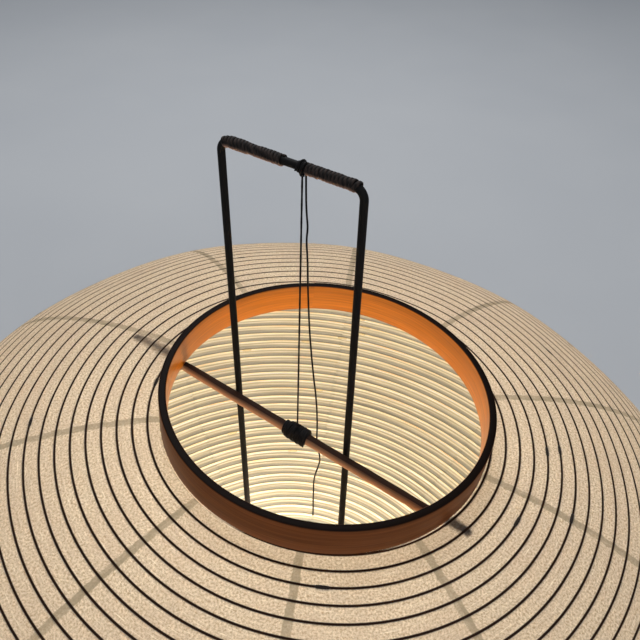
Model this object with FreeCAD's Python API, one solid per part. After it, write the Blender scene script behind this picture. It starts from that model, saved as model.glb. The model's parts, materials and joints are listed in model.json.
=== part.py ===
"""Standing paper lantern: a ribbed paper shade hung by one string from a bent-rod stand.

Millimetres, +Z up. The origin is the centre of the stand's underside, on the surface it rests on.
The hanger rod lies in the XZ plane. The shade is drawn level in its own frame, whose origin is the
centre of the top hoop's upper rim, and is then placed leaning, as it hangs on its string.
"""
import FreeCAD, Part
import math
import os

from FreeCAD import Vector

# ---- stand -------------------------------------------------------------------------------------
PAD_T = 2.0
PAD_INSET = 3.0           # the pad stops this far inside the plate's edge
BASE_D = 220.0
BASE_T = 8.0
BASE_EDGE = 2.0
BASE_TOP = PAD_T + BASE_T
ROD_D = 4.0
ROD_X = 40.0              # each upright's distance from the middle of the stand
ROD_BEND = 6.0            # bend radius on the rod's centre line
BAR_Z = 542.6             # centre line of the bar across the top
ROD_FOOT_Z = 4.0
NUT_AF = 7.0
NUT_T = 3.2
WASHER_D = 9.0
WASHER_T = 0.8
WELL_D = 11.0
WELL_T = 5.0
HOLE_CLEAR = 0.1

# ---- lamp holder and bulb ----------------------------------------------------------------------
BRACKET_Z = 84.0
BRACKET_L = 94.0
BRACKET_W = 16.0
BRACKET_T = 2.0
COLLAR_D = 10.0
COLLAR_T = 6.0
SCREW_D = 2.5
NIPPLE_D = 10.0
NIPPLE_BORE = 7.0
NIPPLE_NUT_AF = 14.0
NIPPLE_NUT_T = 3.0
HOLDER_D = 40.0
HOLDER_WALL = 2.5
HOLDER_CAP_T = 18.0
HOLDER_SHELL_T = 34.0
SLEEVE_D = 28.4
SLEEVE_WALL = 0.5
SLEEVE_T = 20.0
CAP_D = 26.4
CAP_T = 22.0
BULB_D = 60.0
BULB_H = 82.0
BULB_WALL = 0.9

# ---- cords -------------------------------------------------------------------------------------
CORD_D = 1.0
KNOT_L = 3.6                  # length of bar that the knot's turns cover
WRAP_D = 6.0
WRAP_LEFT = (-33.5, -3.2)     # from and to, along the bar
WRAP_RIGHT = (9.6, 33.5)
KNOT_X = 7.4
KNOT_D = 4.6
LASHING_D = 11.0
LASHING_L = 19.0
LOWER_KNOT_D = 3.0
KNOT_GAP = 0.1                # between the bar knot and the two strings under it
TAIL_Y = 0.9                  # the slack end hangs this far behind the bar, clear of the lashing

# ---- shade, in its own level frame -------------------------------------------------------------
HOOP_R = 100.0
HOOP_WALL = 4.5
HOOP_H = 20.5
SHADE_R = 287.0               # widest radius
SHADE_HALF = 138.0            # from the widest level up to the hoop's lower edge
DOME_B = 142.5                # height, and the two powers, of the dome's outline
DOME_N = 2.9
DOME_M = 2.35
ROUNDING = 1.2                # how softly the outline levels off beside the hoop
MID_Z = -HOOP_H - SHADE_HALF
PAPER_T = 0.6
GORES = 10
SEAM_AT = -63.7               # direction of the first seam, degrees from +X
RIB_PITCH = 8.7
RIB_W = 1.2
RIB_INSET = 2.05              # from the outline in to the middle of a rib
RIB_START = -60.5             # direction in which the spiral of ribs starts
DOWEL_RIBS = 5                # turns notched to leave room for the dowel's ends
STRIP_L = 890.0               # length of one bamboo strip
SPLICE_L = 10.0
SPLICE_WALL = 0.25
DOWEL_D = 6.5
DOWEL_LEFT_TIP = (2.0, 40.0)     # diameter of each tip, and length whittled down to it
DOWEL_RIGHT_TIP = (3.4, 20.0)
DOWEL_Y = -25.2
DOWEL_Z = -HOOP_H - DOWEL_D / 2 - 0.3
DOWEL_X = (-126.3, 109.0)
LASHING_X = -3.4

# ---- how the shade hangs -----------------------------------------------------------------------
GAP = 0.3
DOWEL_WORLD = Vector(9.0, -(ROD_D + DOWEL_D) / 2 - GAP, 370.0)
LEAN_ALONG = 3.63             # degrees, the top towards +X
LEAN_ACROSS = 2.51            # degrees, the top towards +Y

X = Vector(1, 0, 0)
Y = Vector(0, 1, 0)
Z = Vector(0, 0, 1)


def save(name, shape):
    shape.exportStep("parts/" + name + ".step")


def rod(d, h, x=0.0, y=0.0, z=0.0, axis=Z):
    return Part.makeCylinder(d / 2, h, Vector(x, y, z), axis)


def tube(outer_d, inner_d, h, x=0.0, y=0.0, z=0.0, axis=Z):
    return rod(outer_d, h, x, y, z, axis).cut(rod(inner_d, h, x, y, z, axis))


def hex_nut(af, t, bore, x=0.0, y=0.0, z=0.0):
    r = af / math.sqrt(3)
    turns = [math.radians(60 * k) for k in range(7)]
    corners = [Vector(x + r * math.cos(a), y + r * math.sin(a), z) for a in turns]
    prism = Part.Face(Part.makePolygon(corners)).extrude(Vector(0, 0, t))
    return prism.cut(rod(bore, t, x, y, z))


def turned(points):
    """A solid of revolution about Z from a closed outline of (radius, height) points."""
    outline = [Vector(r, 0, z) for r, z in points]
    return Part.Face(Part.makePolygon(outline + outline[:1])).revolve(Vector(), Z, 360)


def both_sides(make):
    return Part.makeCompound([make(-ROD_X), make(ROD_X)])


def hang(shape):
    """Place a shape of the shade's level frame where the shade hangs, with its lean."""
    placed = shape.copy()
    placed.translate(DOWEL_WORLD - Vector(LASHING_X, DOWEL_Y, DOWEL_Z))
    placed.rotate(DOWEL_WORLD, X, -LEAN_ACROSS)
    placed.rotate(DOWEL_WORLD, Y, LEAN_ALONG)
    return placed


# ---- stand -------------------------------------------------------------------------------------
def base_pad():
    return rod(BASE_D - 2 * PAD_INSET, PAD_T).cut(both_sides(lambda x: rod(WELL_D, PAD_T, x)))


def base_plate():
    plate = rod(BASE_D, BASE_T, z=PAD_T)
    rims = [e for e in plate.Edges if e.Curve.TypeId == "Part::GeomCircle"]
    plate = plate.makeFillet(BASE_EDGE, [e for e in rims if e.CenterOfMass.z > BASE_TOP - 1])
    plate = plate.cut(both_sides(lambda x: rod(ROD_D + 2 * HOLE_CLEAR, BASE_T, x, 0, PAD_T)))
    return plate.cut(both_sides(lambda x: rod(WELL_D, WELL_T, x, 0, PAD_T)))


def hanger_rod():
    """One round rod: up from the base, across as the bar and down again, with two tight bends."""
    side = ROD_X - ROD_BEND
    shoulder = BAR_Z - ROD_BEND
    mid = ROD_BEND * math.sqrt(0.5)
    left_bend = Part.Arc(Vector(-ROD_X, 0, shoulder), Vector(-side - mid, 0, shoulder + mid),
                         Vector(-side, 0, BAR_Z)).toShape()
    right_bend = Part.Arc(Vector(side, 0, BAR_Z), Vector(side + mid, 0, shoulder + mid),
                          Vector(ROD_X, 0, shoulder)).toShape()
    path = Part.Wire([Part.makeLine(Vector(-ROD_X, 0, ROD_FOOT_Z), Vector(-ROD_X, 0, shoulder)),
                      left_bend,
                      Part.makeLine(Vector(-side, 0, BAR_Z), Vector(side, 0, BAR_Z)),
                      right_bend,
                      Part.makeLine(Vector(ROD_X, 0, shoulder), Vector(ROD_X, 0, ROD_FOOT_Z))])
    section = Part.Wire(Part.makeCircle(ROD_D / 2, Vector(-ROD_X, 0, ROD_FOOT_Z), Z))
    return path.makePipeShell([section], True, False)


def fix_rods_to_base():
    well_top = PAD_T + WELL_T
    save("base_nuts_upper", both_sides(lambda x: hex_nut(NUT_AF, NUT_T, ROD_D, x, 0, BASE_TOP)))
    save("base_washers", both_sides(
        lambda x: tube(WASHER_D, ROD_D, WASHER_T, x, 0, well_top - WASHER_T)))
    nut_z = well_top - WASHER_T - NUT_T
    save("base_nuts_lower", both_sides(lambda x: hex_nut(NUT_AF, NUT_T, ROD_D, x, 0, nut_z)))


def socket_bracket():
    strip = Part.makeBox(BRACKET_L, BRACKET_W, BRACKET_T,
                         Vector(-BRACKET_L / 2, -BRACKET_W / 2, BRACKET_Z))
    upright_edges = [e for e in strip.Edges if abs(e.Vertexes[0].Z - e.Vertexes[-1].Z) > 1]
    strip = strip.makeFillet(BRACKET_W / 2 - 1, upright_edges)
    strip = strip.cut(both_sides(lambda x: rod(ROD_D + HOLE_CLEAR, BRACKET_T, x, 0, BRACKET_Z)))
    return strip.cut(rod(NIPPLE_D + HOLE_CLEAR, BRACKET_T, z=BRACKET_Z))


def rod_collars():
    """Two collars on each upright, above and below the bracket, each locked by a grub screw."""
    levels = (BRACKET_Z - COLLAR_T, BRACKET_Z + BRACKET_T)
    places = [(x, z) for x in (-ROD_X, ROD_X) for z in levels]
    collars = []
    screws = []
    for x, z in places:
        screw = rod(SCREW_D, COLLAR_D / 2 - ROD_D / 2, x, -COLLAR_D / 2, z + COLLAR_T / 2, Y)
        collars.append(tube(COLLAR_D, ROD_D, COLLAR_T, x, 0, z).cut(screw))
        screws.append(screw.common(rod(COLLAR_D, COLLAR_T, x, 0, z)).cut(rod(ROD_D, COLLAR_T, x, 0, z)))
    save("rod_collars", Part.makeCompound(collars))
    save("collar_screws", Part.makeCompound(screws))


# ---- lamp holder and bulb ----------------------------------------------------------------------
HOLDER_Z = BRACKET_Z + BRACKET_T + NIPPLE_NUT_T
SHELL_Z = HOLDER_Z + HOLDER_CAP_T
SHELL_TOP = SHELL_Z + HOLDER_SHELL_T
INSERT_Z = SHELL_Z + 2
INSERT_T = 8.0
SLEEVE_Z = INSERT_Z + INSERT_T
CAP_Z = SLEEVE_Z + 2.5
GLASS_Z = CAP_Z + CAP_T


def lamp_holder():
    r = HOLDER_D / 2
    inner = r - HOLDER_WALL
    nipple_z = BRACKET_Z - NIPPLE_NUT_T - 4
    neck = NIPPLE_D / 2
    cap_shell = turned([(neck, HOLDER_Z), (r - 6, HOLDER_Z), (r, HOLDER_Z + 8), (r, SHELL_Z),
                        (inner, SHELL_Z), (inner, HOLDER_Z + 9), (r - 7.5, HOLDER_Z + HOLDER_WALL),
                        (neck, HOLDER_Z + HOLDER_WALL)])
    save("holder_cap", cap_shell)
    body = turned([(inner, SHELL_Z), (r, SHELL_Z), (r, SHELL_TOP - 3), (r - 1.5, SHELL_TOP),
                   (inner - 1.5, SHELL_TOP), (inner - 1.5, SHELL_TOP - 1.5), (inner, SHELL_TOP - 3)])
    save("holder_shell", body)
    insert = rod(2 * inner - 0.4, INSERT_T, z=INSERT_Z).cut(rod(8, INSERT_T, z=INSERT_Z))
    save("holder_insulator", insert)
    save("holder_thread_sleeve", tube(SLEEVE_D, SLEEVE_D - 2 * SLEEVE_WALL, SLEEVE_T, z=SLEEVE_Z))
    contact = rod(7.6, INSERT_T, z=INSERT_Z).fuse(rod(7.6, 1.4, z=SLEEVE_Z))
    save("holder_centre_contact", contact.removeSplitter())
    save("holder_nipple", tube(NIPPLE_D, NIPPLE_BORE, HOLDER_Z + 6 - nipple_z, z=nipple_z))
    nut_levels = (BRACKET_Z - NIPPLE_NUT_T, BRACKET_Z + BRACKET_T, HOLDER_Z + HOLDER_WALL)
    save("nipple_nuts", Part.makeCompound(
        [hex_nut(NIPPLE_NUT_AF, NIPPLE_NUT_T, NIPPLE_D, z=z) for z in nut_levels]))
    bush = tube(NIPPLE_BORE, 4.5, 5, z=nipple_z).fuse(tube(NIPPLE_D, 4.5, 1.5, z=nipple_z - 1.5))
    save("cable_bush", bush.removeSplitter())


def bulb():
    """Glass lamp with a screw cap: a spherical head that narrows smoothly to the cap."""
    head_r = BULB_D / 2
    top = GLASS_Z + BULB_H
    centre = top - head_r
    neck = CAP_D / 2 - 1.2

    def envelope(inset):
        r = head_r - inset
        low = GLASS_Z + inset
        join = Vector(r * math.cos(math.radians(-25)), 0, centre + r * math.sin(math.radians(-25)))
        side = Part.Arc(Vector(0, 0, centre + r),
                        Vector(r * math.cos(math.radians(30)), 0, centre + r * math.sin(math.radians(30))),
                        join).toShape()
        flank = Part.BezierCurve()
        flank.setPoles([join, Vector(join.x - 4.8, 0, join.z - 10.3), Vector(neck - inset, 0, low + 16),
                        Vector(neck - inset, 0, low)])
        edges = [side, flank.toShape(),
                 Part.makeLine(Vector(neck - inset, 0, low), Vector(0, 0, low)),
                 Part.makeLine(Vector(0, 0, low), Vector(0, 0, centre + r))]
        return Part.Face(Part.Wire(edges)).revolve(Vector(), Z, 360)

    save("bulb_glass", envelope(0).cut(envelope(BULB_WALL)))
    save("bulb_cap", tube(CAP_D, CAP_D - 1.0, CAP_T, z=CAP_Z))
    insulator = turned([(0, CAP_Z - 0.6), (4.6, CAP_Z - 0.6), (CAP_D / 2 - 0.6, CAP_Z + 3),
                        (CAP_D / 2 - 0.6, CAP_Z + 4.5), (0, CAP_Z + 4.5)])
    save("bulb_insulator", insulator)
    save("bulb_contact", turned([(0, CAP_Z - 1.0), (3.4, CAP_Z - 1.0), (4.2, CAP_Z - 0.6), (0, CAP_Z - 0.6)]))
    stem = turned([(0, GLASS_Z + 1), (6, GLASS_Z + 1), (3, GLASS_Z + 22), (1.6, GLASS_Z + 40),
                   (0, GLASS_Z + 40)])
    save("bulb_stem", stem)
    turns = [math.radians(90 * k + 45) for k in range(4)]
    save("bulb_filaments", Part.makeCompound(
        [Part.makeCylinder(0.9, 34, Vector(5 * math.cos(a), 5 * math.sin(a), GLASS_Z + 24),
                           Vector(0.16 * math.cos(a), 0.16 * math.sin(a), 1)) for a in turns]))


# ---- cords -------------------------------------------------------------------------------------
def route(points, d):
    """Tube along straight runs joined by tangent arcs; prints its length and smallest bend."""
    legs = [(points[i + 1] - points[i]) for i in range(len(points) - 1)]
    edges = []
    start = points[0]
    tightest = None
    for i in range(1, len(points) - 1):
        before = Vector(legs[i - 1]).normalize()
        after = Vector(legs[i]).normalize()
        half = before.getAngle(after) / 2
        cut = 0.45 * min(legs[i - 1].Length, legs[i].Length)
        radius = cut / math.tan(half)
        tightest = radius if tightest is None else min(tightest, radius)
        corner = points[i]
        arc_in = corner - before * cut
        arc_out = corner + after * cut
        inward = (after - before).normalize()
        crown = corner + inward * (radius / math.cos(half) - radius)
        edges.append(Part.makeLine(start, arc_in))
        edges.append(Part.Arc(arc_in, crown, arc_out).toShape())
        start = arc_out
    edges.append(Part.makeLine(start, points[-1]))
    path = Part.Wire(edges)
    section = Part.Wire(Part.makeCircle(d / 2, points[0], legs[0]))
    cord = path.makePipeShell([section], True, False)
    expected = path.Length * math.pi * d * d / 4
    print("cord length %.1f, volume/expected %.3f, tightest bend %s" % (
        path.Length, cord.Volume / expected, tightest))
    return cord


LOWER_KNOT = DOWEL_WORLD + Vector(0, 0, LASHING_D / 2 + GAP + LOWER_KNOT_D / 2)


def string_points():
    top = Vector(KNOT_X, 0, BAR_Z - WRAP_D / 2 - KNOT_GAP)
    return [top, LOWER_KNOT + Vector(0, 0, LOWER_KNOT_D / 2)]


def tail_points():
    """The slack free end, from the bar knot down behind the dowel; heights are above the dowel."""
    places = [(8.8, 169.5), (8.9, 158.0), (9.3, 149.0), (10.2, 141.5), (9.3, 134.0), (10.3, 123.0),
              (10.6, 105.0), (12.2, 75.0), (15.2, 46.0), (17.6, 29.0), (18.8, 8.0), (18.4, -10.0),
              (21.9, -20.5), (20.0, -31.0), (17.3, -43.0), (17.1, -60.0), (17.3, -84.0)]
    return [Vector(x, TAIL_Y, DOWEL_WORLD.z + z) for x, z in places]


def cords():
    for name, (x0, x1) in (("bar_wrap_left", WRAP_LEFT), ("bar_wrap_right", WRAP_RIGHT)):
        save(name, tube(WRAP_D, ROD_D, x1 - x0, x0, 0, BAR_Z, X))
    knot = Part.makeSphere(KNOT_D / 2, Vector(KNOT_X, 0, BAR_Z))
    wound = tube(WRAP_D, ROD_D, KNOT_L, KNOT_X - KNOT_L / 2, 0, BAR_Z, X)
    save("bar_knot", wound.fuse(knot.cut(rod(ROD_D, 10, KNOT_X - 5, 0, BAR_Z, X))).removeSplitter())
    save("hanging_string", route(string_points(), CORD_D))
    save("string_tail", route(tail_points(), CORD_D))
    save("string_lower_knot", Part.makeSphere(LOWER_KNOT_D / 2, LOWER_KNOT))


# ---- shade -------------------------------------------------------------------------------------
def outline(steps=160):
    """Outline of the paper as (radius, height) points, from the top hoop round to the bottom hoop.

    The outline is a superellipse whose height is levelled off smoothly at the hoop's edge.
    """
    first = math.asin((HOOP_R / SHADE_R) ** (DOME_N / 2))
    upper = []
    for k in range(steps + 1):
        a = first + (math.pi / 2 - first) * k / steps
        r = SHADE_R * math.sin(a) ** (2 / DOME_N)
        dome = DOME_B * max(math.cos(a), 0.0) ** (2 / DOME_M)
        level = SHADE_HALF + 0.1
        z = -ROUNDING * math.log(math.exp(-dome / ROUNDING) + math.exp(-level / ROUNDING))
        upper.append((r, z if k < steps else 0.0))
    lower = [(r, -z) for r, z in reversed(upper[:-1])]
    return upper + lower


OUTLINE = outline()


def along(distance, inset=0.0):
    """Point (radius, height) on the outline at a distance from the top hoop, moved inwards."""
    for (r0, z0), (r1, z1) in zip(OUTLINE, OUTLINE[1:]):
        leg = math.hypot(r1 - r0, z1 - z0)
        if distance <= leg:
            f = distance / leg
            nr = (z1 - z0) / leg
            nz = -(r1 - r0) / leg
            return (r0 + f * (r1 - r0) + inset * nr, z0 + f * (z1 - z0) + inset * nz)
        distance -= leg
    return OUTLINE[-1]


OUTLINE_L = sum(math.hypot(b[0] - a[0], b[1] - a[1]) for a, b in zip(OUTLINE, OUTLINE[1:]))


def hoop(z):
    return hang(tube(2 * HOOP_R, 2 * (HOOP_R - HOOP_WALL), HOOP_H, z=z))


def paper_gore(k):
    """One strip of paper from hoop to hoop, a tenth of the way round."""
    spans = 36
    step = (OUTLINE_L - 2 * GAP) / spans
    outer = [along(GAP + step * i) for i in range(spans + 1)]
    inner = [along(GAP + step * i, PAPER_T) for i in range(spans + 1)]
    curves = []
    for points in (outer, inner):
        curve = Part.BSplineCurve()
        curve.interpolate([Vector(max(r, HOOP_R + GAP), 0, MID_Z + z) for r, z in points])
        curves.append(curve.toShape())
    ends = [Part.makeLine(curves[0].valueAt(curves[0].FirstParameter), curves[1].valueAt(curves[1].FirstParameter)),
            Part.makeLine(curves[0].valueAt(curves[0].LastParameter), curves[1].valueAt(curves[1].LastParameter))]
    section = Part.Face(Part.Wire([curves[0], ends[1], curves[1], ends[0]]))
    section.rotate(Vector(), Z, SEAM_AT + 360.0 / GORES * k)
    return hang(section.revolve(Vector(), Z, 360.0 / GORES))


def rib_ring(distance):
    """One turn of the rib, just inside the paper, as a level ring of square section."""
    r, z = along(distance, RIB_INSET)
    z += MID_Z - RIB_W / 2
    return tube(2 * r + RIB_W, 2 * r - RIB_W, RIB_W, z=z)


def ribs():
    """The spiral of bamboo strips as one ring to each turn, and the splices between strips."""
    turns = int((OUTLINE_L - RIB_PITCH) / RIB_PITCH)
    rings = [rib_ring(RIB_PITCH * (k + 0.6)) for k in range(turns)]
    room = rod(DOWEL_D + 4 * GAP, DOWEL_X[1] - DOWEL_X[0] + 4 * GAP,
               DOWEL_X[0] - 2 * GAP, DOWEL_Y, DOWEL_Z, X)
    rings = [ring.cut(room) if k < DOWEL_RIBS else ring for k, ring in enumerate(rings)]
    half = turns // 2
    save("ribs_upper", hang(Part.makeCompound(rings[:half])))
    save("ribs_lower", hang(Part.makeCompound(rings[half:])))
    splices = []
    run = STRIP_L * 0.4
    for k in range(turns):
        r, z = along(RIB_PITCH * (k + 0.6), RIB_INSET)
        turn_l = 2 * math.pi * r
        while run < turn_l:
            wide = RIB_W + 2 * SPLICE_WALL
            wrap = Part.makeBox(wide, SPLICE_L, wide, Vector(r - wide / 2, -SPLICE_L / 2, MID_Z + z - wide / 2))
            wrap.rotate(Vector(), Z, RIB_START + 360 * run / turn_l)
            splices.append(wrap.cut(rings[k]))
            run += STRIP_L
        run -= turn_l
    print("rib turns", turns, "splices", len(splices))
    save("rib_splices", hang(Part.makeCompound(splices)))


def shade_dowel():
    """Round stick under the hoop, whittled at both ends, lying along the shade's X."""
    x0, x1 = DOWEL_X
    r = DOWEL_D / 2
    left_d, left_run = DOWEL_LEFT_TIP
    right_d, right_run = DOWEL_RIGHT_TIP
    places = [(0, x0), (left_d / 2, x0), (r, x0 + left_run), (r, x1 - right_run), (right_d / 2, x1),
              (0, x1)]
    profile = [Vector(x, a, 0) for a, x in places]
    stick = Part.Face(Part.makePolygon(profile + profile[:1])).revolve(Vector(), X, 360)
    stick.translate(Vector(0, DOWEL_Y, DOWEL_Z))
    return hang(stick)


def dowel_lashing():
    """Turns of cord bound round the dowel, fuller in the middle."""
    bore = DOWEL_D / 2
    r = LASHING_D / 2
    half = LASHING_L / 2
    places = [(bore, -half), (r - 1.4, -half), (r, -half + 4), (r, half - 4), (r - 1.4, half), (bore, half)]
    profile = [Vector(x, a, 0) for a, x in places]
    wraps = Part.Face(Part.makePolygon(profile + profile[:1])).revolve(Vector(), X, 360)
    wraps.translate(Vector(LASHING_X, DOWEL_Y, DOWEL_Z))
    return hang(wraps)


def main():
    os.makedirs("parts", exist_ok=True)
    save("base_pad", base_pad())
    save("base_plate", base_plate())
    save("hanger_rod", hanger_rod())
    fix_rods_to_base()
    save("socket_bracket", socket_bracket())
    rod_collars()
    lamp_holder()
    bulb()
    cords()
    save("top_hoop", hoop(-HOOP_H))
    save("bottom_hoop", hoop(2 * MID_Z))
    for k in range(GORES):
        save("paper_gore_%02d" % (k + 1), paper_gore(k))
    ribs()
    save("shade_dowel", shade_dowel())
    save("dowel_lashing", dowel_lashing())


main()
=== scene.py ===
"""Looks of a standing paper lantern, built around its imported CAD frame.

Everything is in metres in the frame of the part: +Z up, the bar of the stand along X. The shade is
drawn level in millimetres in its own frame, whose origin is the middle of the top hoop's rim, and
is then placed leaning, as it hangs on its string.
"""
import json
import math

import bmesh
import bpy
import numpy as np
from mathutils import Matrix, Vector


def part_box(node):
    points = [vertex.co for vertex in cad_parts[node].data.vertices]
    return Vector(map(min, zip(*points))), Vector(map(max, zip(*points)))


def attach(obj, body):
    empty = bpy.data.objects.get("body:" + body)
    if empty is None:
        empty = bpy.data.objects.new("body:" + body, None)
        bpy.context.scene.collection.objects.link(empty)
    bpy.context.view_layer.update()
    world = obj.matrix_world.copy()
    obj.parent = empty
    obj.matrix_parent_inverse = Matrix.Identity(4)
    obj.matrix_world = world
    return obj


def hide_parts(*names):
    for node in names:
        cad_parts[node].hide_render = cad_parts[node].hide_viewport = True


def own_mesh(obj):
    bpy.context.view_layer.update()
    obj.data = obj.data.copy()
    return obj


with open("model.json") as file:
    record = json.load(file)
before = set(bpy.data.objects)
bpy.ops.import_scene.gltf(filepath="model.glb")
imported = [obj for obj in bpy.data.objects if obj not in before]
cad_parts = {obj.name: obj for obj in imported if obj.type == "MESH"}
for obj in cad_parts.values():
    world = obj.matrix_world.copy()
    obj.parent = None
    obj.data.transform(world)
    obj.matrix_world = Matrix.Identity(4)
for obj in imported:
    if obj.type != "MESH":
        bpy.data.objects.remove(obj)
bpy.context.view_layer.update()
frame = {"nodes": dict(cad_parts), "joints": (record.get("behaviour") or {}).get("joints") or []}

bl_info = {
    "name": "Paper lantern",
    "version": (1, 0, 0),
    "blender": (4, 5, 0),
    "location": "3D View > Sidebar > Lantern",
    "description": "Adds the paper, ribs, hoops, cords, materials and light of a standing paper lantern",
    "category": "Object",
}

JOINTS = {joint["name"]: joint for joint in frame["joints"]}
MM = 0.001

# The shade's outline and the places of its pieces, in its own level frame, in millimetres.
HOOP_R = 100.0
HOOP_WALL = 4.5
HOOP_H = 20.5
SHADE_R = 287.0
SHADE_HALF = 138.0
DOME_B, DOME_N, DOME_M = 142.5, 2.9, 2.35
ROUNDING = 1.2
MID_Z = -HOOP_H - SHADE_HALF
GORES = 10
SEAM_AT = -63.7
RIB_START = -60.5
DOWEL_Y = -25.2
DOWEL_Z = -24.05
DOWEL_X = (-126.3, 109.0)
DOWEL_LEFT_TIP = (2.0, 40.0)
DOWEL_RIGHT_TIP = (3.4, 20.0)
DOWEL_D = 6.5
LASHING_X = -3.4
# How far the painted shadow of the stick's tips reaches on the paper past each end.
TIP_SHADOW_REACH = (12.0, 2.0)
SPLICE_FIRST = 356.0
STRIP_L = 890.0
# The tent over a tip of the stick: gap above it, fall per millimetre to the side and past the tip, how
# far it reaches each way, and how softly it leaves the dome.
TENT_GAP = 1.5
TENT_FALL = (0.16, 0.2)
TENT_REACH = (16.0, 12.0)
TENT_SOFT = 0.5
# The rounded edge of the hoop's section, the step and the length in degrees of its glued lap, and how
# far round the lap stands.
HOOP_EDGE = 0.7
LAP_STEP = 0.3
LAP_TURN = 14.0
LAP_AT = 130.0
# How far in from its edge a hoop's rim is painted dark as shade.
RIM_SHADE_DEPTH = 0.45
# Stops of a paper strip down and across, its first stop's distance from the hoop, and how far clear of
# the hoop its lip stands.
PAPER_GRID = (472, 41)
PAPER_EDGE = 0.25
LIP_GAP = 0.35
# A wrap of paper round a splice: half its length, its width and thickness, and its swell along it.
WRAP_HALF = 5
WRAP_WIDE, WRAP_THICK = 2.6 * MM, 1.7 * MM
WRAP_SWELL = (0.62, 0.92, 1.0, 0.98, 0.9, 0.6)
# Layers of the lashing round the dowel: turns, start, end, cords from the dowel's face to the layer's
# middle, wobble, seed and slant.
DOWEL_R = DOWEL_D / 2
LASHING = ((12.5, -9.2, 7.4, 0.5, 0.10, 3, 0.0), (10, 6.4, -7.0, 1.25, 0.16, 4, 0.0),
           (3.2, -5.5, 5.4, 1.5, 0.08, 5, 1.2), (2.6, 3.6, 6.6, 1.45, 0.08, 6, -0.5))

# The stand and its cords, in metres, but for the points of the slack end, which are x and z in
# millimetres.
ROD_X = 0.040
ROD_BEND = 0.006
BAR_Z = 0.5426
KNOT_X = 0.0074
STRING_TOP = (0.0074, 0.0, 0.5395)
STRING_END = (0.0090, -0.00555, 0.3788)
KNOT_AT = (0.0090, -0.00555, 0.3773)
TAIL = ((8.8, 539.5), (8.9, 528.0), (9.3, 519.0), (10.2, 511.5), (9.3, 504.0), (10.3, 493.0),
        (10.6, 475.0), (12.2, 445.0), (15.2, 416.0), (17.6, 399.0), (18.8, 378.0), (18.4, 360.0),
        (21.9, 349.5), (20.0, 339.0), (17.3, 327.0), (17.1, 310.0), (17.3, 286.0))
TAIL_Y = 0.0009
ROD_R = 0.002
STRING_TWIST = 161 / 3

# The size of the lower knot's trefoil, the radius of the coil under the hitch, and how far below the
# bar's line the coil starts and how far it comes down from there.
TREFOIL = 0.00036
COIL_R = 0.0009
COIL_DROP = (0.0028, 0.0012)
# Windings of the bar: name, start and end in millimetres, turns, seed and the CAD node it stands for.
WINDINGS = (("left_bar_winding", -3.2, -38.0, 19.5, 11, "bar_wrap_left"),
            ("right_bar_winding", 9.6, 37.0, 15.5, 12, "bar_wrap_right"))

# Studio lights: name, share of the key light's power, place and width. Both aim at the shade.
STUDIO = (("key_light", 1.0, (-0.9, 1.1, 2.2), 1.6), ("fill_light", 0.35, (1.6, -1.2, 1.5), 1.4))
AIM_AT = (0, 0, 0.25)
# The place, the axes and the lens of the camera.
CAMERA_AT = (0.1692, -0.2292, 0.6910)
CAMERA_RIGHT = (0.8260, 0.5634, 0.0221)
CAMERA_UP = (-0.3775, 0.5235, 0.7639)
CAMERA_LENS = 39.375
FLOOR_REACH = 14


def linear(code):
    """Linear red, green, blue and alpha of an sRGB hex colour."""
    parts = [int(code[i:i + 2], 16) / 255 for i in (0, 2, 4)]
    return tuple(v / 12.92 if v <= 0.04045 else ((v + 0.055) / 1.055) ** 2.4 for v in parts) + (1.0,)


def colour(text, code):
    """A colour property whose default is an sRGB hex colour."""
    return bpy.props.FloatVectorProperty(
        name=text, description=text + " as it looks in plain light", default=linear(code)[:3],
        subtype="COLOR", size=3, min=0.0, max=1.0)


def size(text, default, low=0.0):
    """A length property in metres."""
    return bpy.props.FloatProperty(
        name=text, description=text, default=default, min=low, subtype="DISTANCE", unit="LENGTH",
        precision=5)


# ---- properties --------------------------------------------------------------------------------
class LanternSizes(bpy.types.PropertyGroup):
    rib_pitch: size("Rib spacing along the paper", 0.0087, 0.003)
    rib_width: size("Width of a bamboo strip", 0.0013)
    rib_height: size("Thickness of a bamboo strip", 0.0011)
    seam_width: size("Overlap of two paper strips", 0.0044)
    pillow: size("Sag of the paper between two ribs", 0.0004)
    ridge: size("Rise of the paper at a seam", 0.0005)
    lip: size("Edge of the paper turned up against a hoop", 0.0011)
    string: size("Diameter of the hanging string", 0.001)
    cord: size("Thickness of the cord bound round the bar", 0.0009)
    cord_wide: size("Width of the cord bound round the bar", 0.0019)
    lashing_cord: size("Diameter of the cord bound round the dowel", 0.0012)


class LanternColours(bpy.types.PropertyGroup):
    paper_light: colour("Paper where it is thin", "e8dac6")
    paper_dark: colour("Paper where fibres lie thick", "a5937a")
    # Painted light and shade on the lamp's side of the paper: bright just under a rib, shaded just above
    # one.
    paper_inside_lit: colour("Paper on the lamp's side, just under a rib", "ffffff")
    paper_inside_shaded: colour("Paper on the lamp's side, just above a rib", "b2b0a4")
    seam: colour("Double paper at a seam", "8f8470")
    # Painted shadow: the dark line where a rib blocks the lamp's light through the paper.
    rib_shadow: colour("Rib showing through the paper", "2a170c")
    bamboo: colour("Bamboo strip", "fff4dc")
    # Lit and shaded copies of one wood: the inner face is painted lamp-lit orange, the outer face a
    # shaded brown and the rims near black as painted shade.
    hoop_inside_lamplit: colour("Oiled hoop, inner face", "bd6602")
    hoop_outside_shaded: colour("Oiled hoop, outer face", "87502d")
    hoop_rim_shaded: colour("Scorched hoop rim", "140a05")
    dowel: colour("Stained stick", "d0a17e")
    # Painted shade: the stick's upper side, away from the lamp, is painted dark.
    dowel_top_shaded: colour("Sooty upper side of the stick", "22130e")
    cord: colour("Waxed black cord", "080708")
    binding: colour("Dark brown binding cord", "120e0c")


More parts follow.
